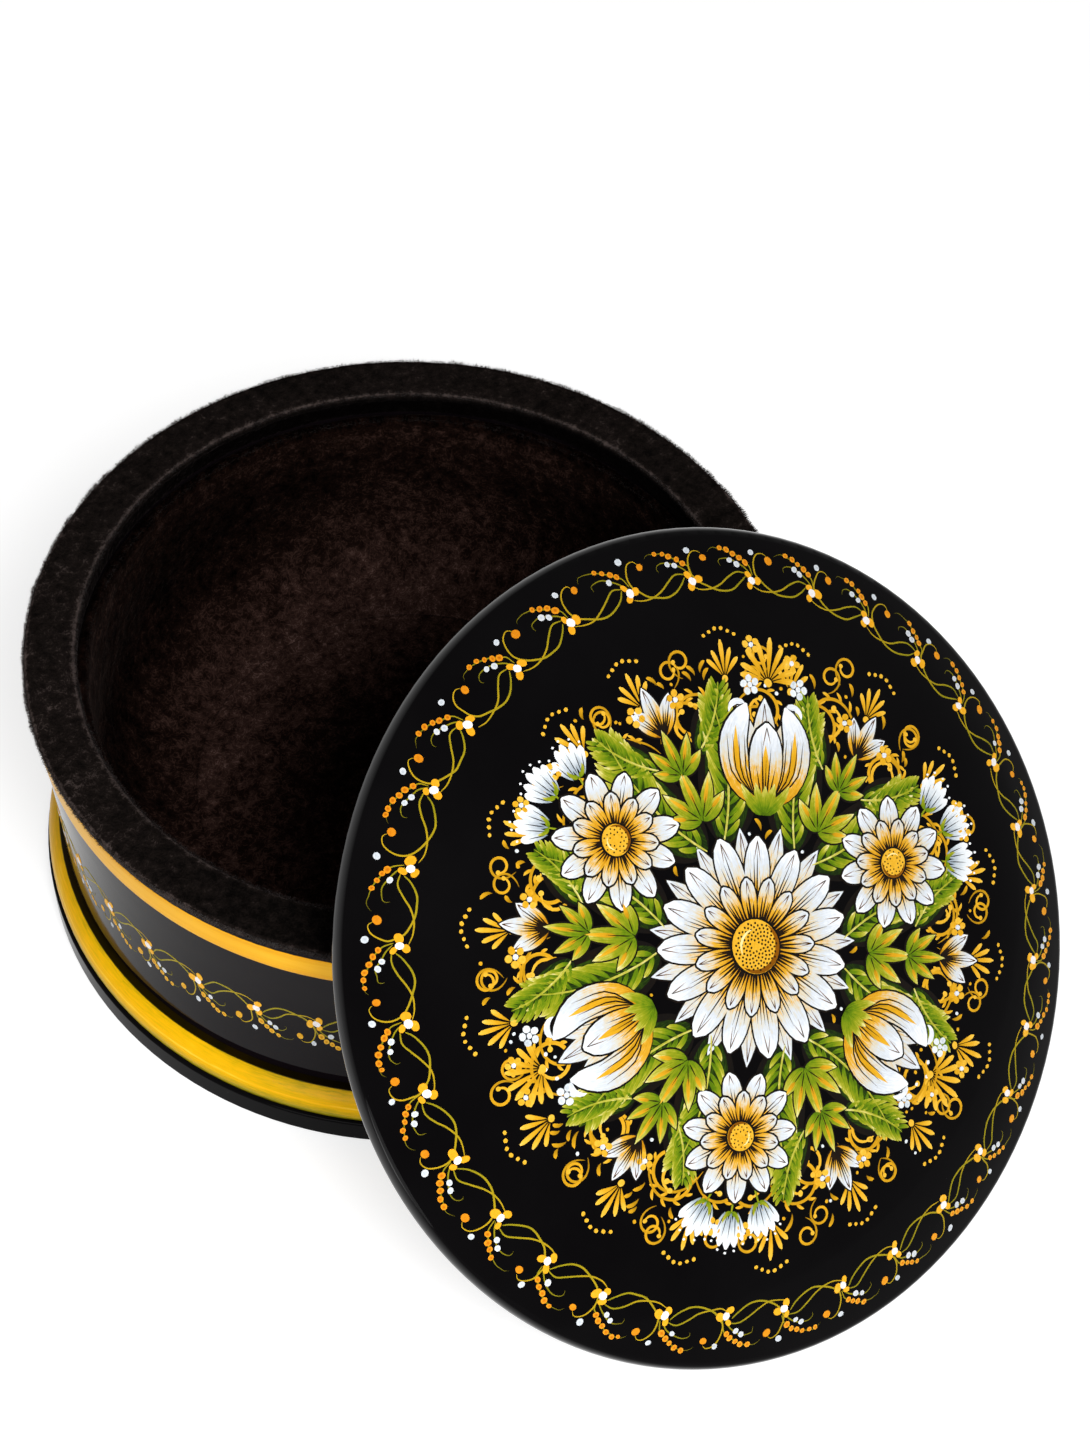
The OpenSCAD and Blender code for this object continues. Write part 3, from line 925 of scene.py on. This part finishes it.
def scroll(place, length, bend, width, light, combs=0):
    # a line that winds up to a drop, with short comb strokes along its outer side
    path = curl(0, 0, length, bend, rows=36, tighten=1.5)
    stroke(gold, place, path, width, (0.5, 0.25), 0.0, 0.05, (light - 0.25, light + 0.25))
    drop(gold, place, path[-1], width * 0.75, 0.02, 0.06, light + 0.25)
    ahead = headingsOf(path)
    side = -1 if bend > 0 else 1
    for k in range(combs):
        at = round(7 + 15 * k / (combs - 1))
        tooth = curl(path[at], ahead[at] + side * 58, 2.3 - 0.16 * k, -side * 46, rows=7)
        stroke(gold, place, tooth, 0.72, (0.5, 0.6), 0.0, 0.04, (light - 0.1, light + 0.3))


def combFan(place, size, lift, count, spread, light=0.35):
    for k in range(count):
        side = spread * (k / (count - 1) - 0.5)
        length = size * (1 - 0.32 * abs(side) / spread * 2)
        own, tooth = within(place, 0, side), curl(size * 0.14, 0, length, side * 0.3, rows=9)
        stroke(gold, own, tooth, size * 0.16, (1.0, 0.35), lift, 0.05, (light, light + 0.5))
    drop(gold, place, 0, size * 0.11, lift + 0.03, 0.06, light + 0.4)


def beadString(place, path, count, pot=gold, tone=0.7, radius=0.42):
    for spot in through(path, count):
        drop(pot, place, spot, radius * rng.uniform(0.9, 1.1), 0.03, 0.06, tone, segments=9)


def bellFlower(place, size, lift):
    # a small striped bell on a thin stalk
    stroke(leaf, place, straight(-size * 0.5, size * 0.1, 6), 0.4, (0.3, 0.4), lift, 0.03, (0.5, 0.7))
    strips = ((-0.2, -20, 0.78), (0.2, 20, 0.78), (-0.11, -9, 0.93), (0.11, 9, 0.93), (0, 0, 1.0))
    for off, side, length in strips:
        own, strip = within(place, 1j * off * size, side), straight(0, size * length, 9)
        stroke(frost, own, strip, size * 0.25, (0.9, 0.4), lift + 0.02, 0.05, (0.15, 0.9))
        root = straight(size * 0.12, size * length * 0.72, 5)
        hairline(own, root, 0.24, (0.3, 0.8), lift + 0.07, (0.0, 0.2))
        drop(frost, own, size * (length + 0.1), 0.26, lift + 0.02, 0.05, 0.8, segments=7)
    for side in (-1, 1):
        cup = curl(0, side * 75, size * 0.42, -side * 70, rows=7)
        stroke(leaf, place, cup, size * 0.14, (0.5, 0.8), lift + 0.06, 0.04, (0.45, 0.85))


def dotFlower(place, radius, lift, pot=gold, tone=0.65):
    for k in range(5):
        spot = radius * np.exp(2j * math.pi * (k + 0.25) / 5)
        drop(pot, place, spot, radius * 0.56, lift, 0.06, tone + rng.uniform(-0.1, 0.15), segments=9)
    drop(white, place, 0, radius * 0.42, lift + 0.06, 0.05, 0.8, segments=8)


def tulip(place, size, lift):
    # cup of three white petals before three pointed ones, on a green foot
    def path(*points, rows):
        return through([size * p for p in points], rows)

    for side, length in ((-17, 0.94), (17, 0.94), (0, 1.0)):
        own = within(place, size * 0.05, side)
        whitePetal(own, size * length, size * 0.28, lift, 0.8, 3, 0.85, (0.0, 0.8))
    for side in (-1, 1):
        edge = within(place, size * 0.06, 0, side < 0)
        cup = path(0, 0.24 + 0.25j, 0.58 + 0.33j, 0.93 + 0.2j, rows=14)
        underlay(edge, cup, size * 0.3 + 0.7, (0.75, 0.6), lift + 0.07)
        stroke(white, edge, cup, size * 0.3, (0.75, 0.65), lift + 0.085, 0.035, (0.05, 1.0), wide, 0.05)
        flame = path(0.12 + 0.16j, 0.4 + 0.29j, 0.72 + 0.31j, rows=10)
        stroke(gold, edge, flame, size * 0.1, (0.8, 1.1), lift + 0.125, 0.02, (0.3, 0.75))
        for k in range(4):
            line = path(0.1 + 0.1j, 0.3 + (0.19 + 0.05 * k) * 1j, 0.64 + (0.22 + 0.06 * k) * 1j, rows=7)
            hairline(edge, line, 0.38, (0.3, 0.8), lift + 0.145, (0.0, 0.5))
        tip = curl(size * (0.93 + 0.22j), 60, size * 0.22, 120, rows=8)
        stroke(white, edge, tip, size * 0.06, (0.4, 0.7), lift + 0.1, 0.05, (0.8, 1.0))
    whitePetal(within(place, size * 0.04), size * 0.74, size * 0.34, lift + 0.16, 0.6, 5, 0.8, (0.0, 1.0))
    rib = straight(size * 0.2, size * 0.62, 9)
    stroke(gold, place, rib, size * 0.1, (0.8, 1.1), lift + 0.2, 0.02, (0.3, 0.75))
    for side, length in ((-58, 0.36), (58, 0.36), (-26, 0.3), (26, 0.3), (0, 0.26)):
        own, foot = within(place, 0, side), curl(0, 0, size * length, -side * 0.5, rows=8)
        stroke(leaf, own, foot, size * 0.1, (0.6, 0.9), lift + 0.22, 0.05, (0.3, 0.95), wide)
    beadString(place, [size * (1.1 - 0.12j), size * 1.16, size * (1.1 + 0.12j)], 3, white, 0.85)


def petalRing(place, count, radius, offset, *look):
    for k in range(count):
        turn = 360 / count * (k + offset)
        whitePetal(within(place, radius * np.exp(1j * math.radians(turn)), turn), *look)


def roundBloom(place, radius, lift):
    # two rings of petals about a golden eye
    petalRing(place, 11, radius * 0.26, 0.0, radius * 0.78, radius * 0.37, lift, 0.6, 4, 0.8, (0.0, 1.0))
    petalRing(place, 11, radius * 0.14, 0.5, radius * 0.56, radius * 0.26, lift + 0.07, 0.5, 3, 0.8,
              (0.0, 0.7))
    rootHatch(place, radius * 0.2, radius * 0.44, 33, lift + 0.13)
    goldenEye(place, radius * 0.25, lift + 0.15, 34)


def rosette(place, r):
    petalRing(place, 15, 4.5, 0.5, r * 0.86, 4.8, 0.1, 0.9, 4, 0.85, (0.0, 0.8))
    petalRing(place, 15, 4.5, 0.0, r * 0.78, 5.9, 0.16, 0.55, 5, 0.85, (0.0, 1.0))
    petalRing(place, 15, 3.6, 0.5, 9.6, 3.5, 0.23, 0.5, 3, 0.85, (0.0, 0.75))
    rootHatch(place, 5.0, 9.4, 60, 0.3)
    goldenEye(place, 5.6, 0.33, 120)


def lace(cell):
    # a pair of scrolls that part like a lyre, with a comb between them
    for arm in halves(cell):
        scroll(within(arm, 43.5 + 0.6j, 24), 30, 430, 0.8, 0.5, 6)
        scroll(within(arm, 51.5 + 8.6j, 66), 14.5, -420, 0.62, 0.45)
    combFan(within(cell, 51.5), 6.4, 0.02, 5, 74)
    beadString(cell, [60 - 3.4j, 61.4, 60 + 3.4j], 6)


def lidPicture(p):
    # a sixfold wreath round a rosette: tulips and round blooms in turn, with leaves and scrolls between them
    middle = within(bare, 0, p["axis"])
    rosette(middle, p["rosette"])
    for k in range(18):
        lace(within(middle, 0, 20 * k + 10))
    for k in range(6):
        ray = within(middle, 0, 60 * k)
        gap = within(middle, 0, 60 * k + 30)
        for half in halves(gap):
            combLeaf(within(half, 20.5 + 2.2j, 21), 29.5, 12, 0.05, -38, 14, 0.4)
            combLeaf(within(half, 38 + 5j, 44), 15, 7.4, 0.06, -34, 10, 0.35)
            dotFlower(within(half, 49 + 5.2j), 1.3, 0.16)
        budSprig(within(gap, 26.5), 11.5, 0.16, 0.36)
        budSprig(within(gap, 36), 9.5, 0.18, 0.3)
        for side in (-1, 1, 0):
            whitePetal(within(gap, 44, 32 * side), 10 - 1.6 * abs(side), 3.6, 0.16, 0.9, 4, 0.9, (0.0, 0.95))
        if k % 2:
            roundBloom(within(ray, 36.4), 12.4, 0.18)
            for side, off in ((-30, -5.8), (30, 5.8), (0, 0)):
                bellFlower(within(ray, 51 - abs(off) * 0.35 + 1j * off, side * 0.9), 7.2, 0.12)
        else:
            tulip(within(ray, 25), 21.5, 0.18)
            combFan(within(ray, 50.5), 7.6, 0.12, 9, 150)
            for half in halves(ray):
                dotFlower(within(half, 49.5 + 6.4j), 1.4, 0.12, frost, 0.55)
        for half in halves(ray):
            dotFlower(within(half, 55.4 + 3.4j), 1.2, 0.12)
    fillGaps(p)


def fillGaps(p):
    # the ground left between the motifs is closed with commas and dots in ochre, as a painter does at the end
    cells = {}
    plenty, enough = p["room"]

    def cellOf(z):
        return int(z.real // p["cell"]), int(z.imag // p["cell"])

    def take(spots):
        for z in spots:
            cells.setdefault(cellOf(z), []).append(complex(z))

    def roomAt(z):
        i, j = cellOf(z)
        near = [w for a in (-1, 0, 1) for b in (-1, 0, 1) for w in cells.get((i + a, j + b), ())]
        return min((abs(w - z) for w in near), default=2.0)

    for key, pot in pots.items():
        if key.startswith("lid_flower"):
            for spots, *_ in pot["parts"]:
                take(spots)
    for k in range(p["fill"]):
        z = p["reach"] * math.sqrt(rng.random()) * complex(np.exp(1j * rng.uniform(0, 2 * math.pi)))
        room = roomAt(z)
        if room > plenty:
            heading, bend = math.degrees(np.angle(z)), rng.choice((-70, 70))
            comma = curl(z - 0.8 * room * z / abs(z), heading, 1.7 * room, bend, rows=8)
            stroke(gold, bare, comma, 0.9, (0.9, 0.5), 0.0, 0.05, (0.1, 0.6))
            take(comma)
        elif room > enough:
            drop(rng.choice((gold, gold, frost)), bare, z, min(0.42, room * 0.4), 0.0, 0.05, 0.55, segments=8)
            take([z])


lidBorder(border)
boxVine(wallVine)
print("vines are painted")
lidPicture(picture)
print("the lid's wreath is painted")
emptyPots()
print("paint has dried")


def seenDirectly(tree):
    # 1 for camera, glossy and transmission rays
    path = tree.nodes.new("ShaderNodeLightPath")
    last = path.outputs["Is Camera Ray"]
    for ray in ("Is Glossy Ray", "Is Transmission Ray"):
        either = tree.nodes.new("ShaderNodeMath")
        either.operation = "MAXIMUM"
        tree.links.new(last, either.inputs[0])
        tree.links.new(path.outputs[ray], either.inputs[1])
        last = either.outputs[0]
    return last


# full white beyond the lamps' reach, so that no horizon shows from low down; distances in metres
floorLook = {"grey": 0.5, "glow": 0.72, "near": 0.5, "far": 1.1, "span": 2, "size": 6.0}


def studioFloor(f):
    r = Recipe("floor_white", Roughness=0.9, Specular_IOR_Level=0.0, Base_Color=(f["grey"],) * 3 + (1,))
    glow, level, both = r.add("Emission"), r.add("Math", operation="MULTIPLY"), r.add("AddShader")
    reach = r.join(r.place(Scale=(1 / f["span"],) * 3), 0, r.add("VectorMath", operation="LENGTH"), 0)
    stops = [(f["near"] / f["span"], f["glow"]), (f["far"] / f["span"], 1.0)]
    r.join(r.ramp(reach, stops, "Value", "EASE"), 0, level, 1)
    r.tree.links.new(seenDirectly(r.tree), level.inputs[0])
    r.join(level, 0, glow, "Strength")
    r.join(r.skin, 0, both, 0)
    r.join(glow, 0, both, 1)
    r.join(both, 0, r.out, 0)
    s = f["size"]
    mesh = bpy.data.meshes.new("floor")
    mesh.from_pydata([(-s, -s, 0), (s, -s, 0), (s, s, 0), (-s, s, 0)], [], [(0, 1, 2, 3)])
    mesh.materials.append(r.mat)
    floor = addObject("floor", mesh)


def studioWorld(strength):
    world = bpy.data.worlds.new("studio")
    world.use_nodes = True
    tree = world.node_tree
    back = tree.nodes["Background"]
    back.inputs["Color"].default_value = (1, 1, 1, 1)
    level = tree.nodes.new("ShaderNodeMapRange")
    level.inputs["To Min"].default_value = strength
    tree.links.new(seenDirectly(tree), level.inputs["Value"])
    tree.links.new(level.outputs[0], back.inputs["Strength"])
    scene.world = world


lamps = {
    "key": {"at": (-0.22, -0.68, 0.92), "toward": (0, 0, 0.05), "size": 0.4, "power": 10, "mirrored": False},
    "low_fill": {"at": (-0.95, -0.55, 0.2), "toward": (0, 0, 0.04), "size": 0.5, "power": 5.5,
                 "mirrored": True},
}


def softLamp(name, look):
    data = bpy.data.lights.new(name, "AREA")
    data.shape = "DISK"
    data.size = look["size"]
    data.energy = look["power"]
    lamp = addObject(name, data)
    lamp.location = look["at"]
    lamp.visible_glossy = look["mirrored"]      # the key hangs behind a polariser, so the lacquer stays black
    lamp.rotation_euler = (Vector(look["toward"]) - Vector(look["at"])).to_track_quat("-Z", "Y").to_euler()


studioFloor(floorLook)
studioWorld(0.2)
for name, look in lamps.items():
    softLamp(name, look)
scene.view_settings.view_transform = "Standard"
print("studio is lit")
